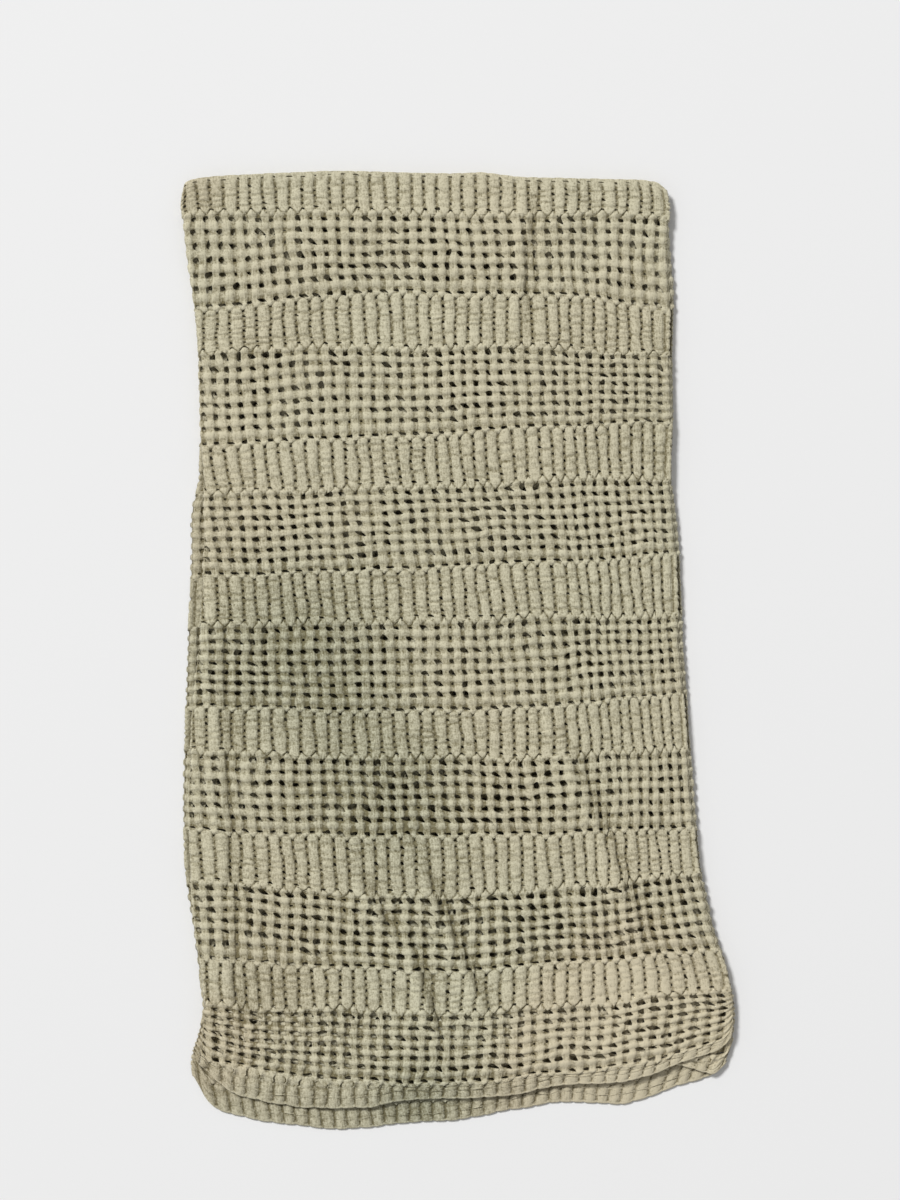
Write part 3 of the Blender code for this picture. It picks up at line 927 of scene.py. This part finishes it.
# Patches of painted shadow and light: painted shadow left of and under the middle and under the top
# hem, painted light at the lower right and under the upper hem; some only move the hue. name, place
# in metres, reach, how much darker as painted shade (below zero, lighter as painted light), how
# much warmer in hue
PAINTED_LIGHT_AND_SHADE = (
    ("left of the middle", (-0.13, 0.005, 0.012), 0.12, 0.28, -1.2),
    ("under the middle", (-0.06, -0.11, 0.012), 0.12, 0.24, -1.2),
    ("lower left", (-0.15, -0.30, 0.012), 0.13, 0.0, 0.2),
    ("lower middle", (0.02, -0.24, 0.012), 0.15, 0.0, -0.6),
    ("right of the middle", (0.10, -0.09, 0.012), 0.12, 0.02, -0.3),
    ("lower right", (0.14, -0.24, 0.012), 0.12, -0.10, 0.4),
    ("lower right corner", (0.14, -0.35, 0.012), 0.15, -0.36, 3.2),
    ("left above the middle", (-0.16, 0.19, 0.012), 0.09, -0.12, 0.0),
    ("under the top hem", (-0.035, -0.374, 0.0), 0.055, 0.22, -1.2),
    ("lower left corner", (-0.21, -0.33, 0.012), 0.06, 0.0, 1.5),
    ("upper left corner", (-0.23, 0.39, 0.012), 0.07, 0.04, 0.8),
    ("under the upper hem", (0.02, 0.33, 0.012), 0.22, -0.09, 0.0),
)
YARN_STOPS = ((0.0, (0.18, 0.155, 0.08)), (0.9, (0.622, 0.588, 0.428)))     # dark to light tones
WARM_TINT, COOL_TINT = (1.0, 0.945, 0.93, 1.0), (0.94, 0.985, 1.0, 1.0)
VALLEY_TO_TOP = (-1.9, 2.3)         # heights of the face whose colour is darkest and lightest, in mm: painted shade in the hollows, painted light on the tops


def cotton(name, depth):
    """The finish of one layer; depth darkens the colour of the layers that lie under others, as
    painted shade.
    """
    shader = Shader(name)
    weave = shader.node("UVMap", {"uv_map": "weave"})
    place = shader.node("TexCoord", {}, output=3)
    stretched = shader.node("Mapping", {}, Vector=weave, Scale=(8.0, 0.9, 1.0))
    strands = shader.node("TexNoise", {}, Vector=stretched, Scale=1.0, Detail=2.0, Roughness=0.6)
    mottle = shader.node("TexNoise", {}, Vector=weave, Scale=2.2, Detail=2.0, Roughness=0.6)
    fuzz = shader.node("TexNoise", {}, Vector=place, Scale=650.0, Detail=3.0, Roughness=0.75)
    patches = shader.node("TexNoise", {}, Vector=place, Scale=7.0, Detail=3.0, Roughness=0.55)
    warmth = shader.node("TexNoise", {}, Vector=place, Scale=4.0, Detail=2.0, Roughness=0.5)
    # The colour follows the face's height: painted shade in the hollows and holes of the weave,
    # painted light on its pillows and ribs.
    rise = shader.node("Attribute", {"attribute_name": "rise"}, output=2)
    painted_shading_by_height = shader.eased(rise, *VALLEY_TO_TOP)
    tone = (strands - 0.5) * 1.1 + (fuzz - 0.5) * 1.9 + (mottle - 0.5) * 0.9
    tone = tone + (patches - 0.5) * 0.28 + painted_shading_by_height * 0.87 - 0.035
    warm = (warmth - 0.35) * 2.0
    # Patches with darker above zero are painted shadow and those below zero painted light; warmer
    # moves their hue.
    for _, spot, reach, darker, warmer in PAINTED_LIGHT_AND_SHADE:
        far = shader.node("VectorMath", {"operation": "DISTANCE"}, place, spot, output=1)
        near = shader.eased(far, reach, 0.0)
        tone = tone - near * darker
        warm = warm + near * warmer
    # The ramp's tones times depth: painted shade on the layers under others.
    stops = [(at, [value * depth for value in colour]) for at, colour in YARN_STOPS]
    colour = shader.node("ValToRGB", {"stops": stops}, Fac=tone)
    colour = shader.tinted(colour, warm, WARM_TINT)
    colour = shader.tinted(colour, warm * -1.0, COOL_TINT)
    bump = shader.node(
        "Bump", {}, Strength=0.8, Distance=0.0008, Height=strands * 0.8 + fuzz * 0.35)
    return shader.finish(
        Base_Color=colour, Normal=bump, Roughness=0.95, Sheen_Weight=0.15, Sheen_Roughness=0.6,
        Specular_IOR_Level=0.15)


# Top panel
# The third of the cloth that shows: from the selvedge at the right to the fold at the left, where
# it turns under. It is made in five lengths, parted at lines between two bands of the weave.
top = Panel(TOP)
top_cotton = cotton("cotton_top", 1.0)
TOP_LENGTHS = (
    ("top_panel_upper", range(0, 5), (0.43, 0.224)),
    ("top_panel_high_middle", range(5, 7), (0.44, 0.1125)),
    ("top_panel_middle", range(7, 9), (0.44, 0.1175)),
    ("top_panel_low_middle", range(9, 13), (0.45, 0.218)),
    ("top_panel_lower", range(13, 17), (0.46, 0.104)),
)
for name, bands, flat in TOP_LENGTHS:
    piece = sewn(name, top, bands, top_cotton)
    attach(piece, "root")
    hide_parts("folded_blanket")


# Middle panel
# It lies face down between the other two, seen through the holes of the top panel, and turns under
# at the right, where its fold stands out a little beyond the top panel's selvedge.
middle = Panel(MIDDLE)
middle_cotton = cotton("cotton_middle", 1.0)
middle_piece = sewn("middle_panel", middle, range(len(BANDS)), middle_cotton, fine_from=38)
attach(middle_piece, "root")


# Lowest panel
# It lies on the floor. Its loose selvedge shows along the left, and its hem below the top panel's.
lowest = Panel(LOWEST)
# Its colour is painted darker, as shade under the other layers.
lowest_cotton = cotton("cotton_lowest", 0.9)
lowest_piece = sewn("lowest_panel", lowest, range(len(BANDS)), lowest_cotton, fine_from=36)
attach(lowest_piece, "root")


# Floor, light and camera
# A plain pale floor under soft light from the upper left, seen from straight above.
FLOOR_DROP = 0.5 * MM     # keeps the floor clear of the underside
FLOOR_TONE = (0.86, 0.86, 0.86, 1)
AMBIENT = 0.36            # strength of the white all round


def floor_plane():
    mesh = bmesh.new()
    bmesh.ops.create_grid(mesh, x_segments=1, y_segments=1, size=6.0)
    floor = as_object("floor", mesh)
    floor.data.materials.append(Shader("pale_floor").finish(Base_Color=FLOOR_TONE, Roughness=0.9))
    floor.location.z = -FLOOR_DROP
    bpy.context.scene.collection.objects.link(floor)


def area_light(name, place, size, power):
    light = bpy.data.lights.new(name, "AREA")
    light.shape = "DISK"
    light.size = size
    light.energy = power
    lamp = bpy.data.objects.new(name, light)
    lamp.location = place
    lamp.rotation_euler = (-lamp.location).to_track_quat("-Z", "Y").to_euler()
    bpy.context.scene.collection.objects.link(lamp)


floor_plane()
area_light("window", place=(-11.4, 12.4, 21.2), size=6.4, power=5800.0)
world = bpy.data.worlds.new("studio")
world.use_nodes = True
background = world.node_tree.nodes["Background"]
background.inputs["Color"].default_value = (1, 1, 1, 1)
background.inputs["Strength"].default_value = AMBIENT
bpy.context.scene.world = world
bpy.context.scene.view_settings.view_transform = "Standard"

IMAGE = (900, 1200)                 # the image's width and height
PHOTO_SCALE = 0.83 * MM             # metres to a pixel of the image
BLANKET_MIDDLE = (459.5, 649.5)     # pixel of the folded blanket's middle
CAMERA_HEIGHT = 3.0
FACE_HEIGHT = 0.012                 # height of the face where the scale holds
camera_data = bpy.data.cameras.new("camera")
camera = bpy.data.objects.new("camera", camera_data)
camera.location = (
    (IMAGE[0] / 2 - BLANKET_MIDDLE[0]) * PHOTO_SCALE,
    (BLANKET_MIDDLE[1] - IMAGE[1] / 2) * PHOTO_SCALE, CAMERA_HEIGHT)
seen_high = IMAGE[1] * PHOTO_SCALE
camera_data.lens = camera_data.sensor_width * (CAMERA_HEIGHT - FACE_HEIGHT) / seen_high
camera_data.clip_end = 20
bpy.context.scene.collection.objects.link(camera)
bpy.context.scene.camera = camera
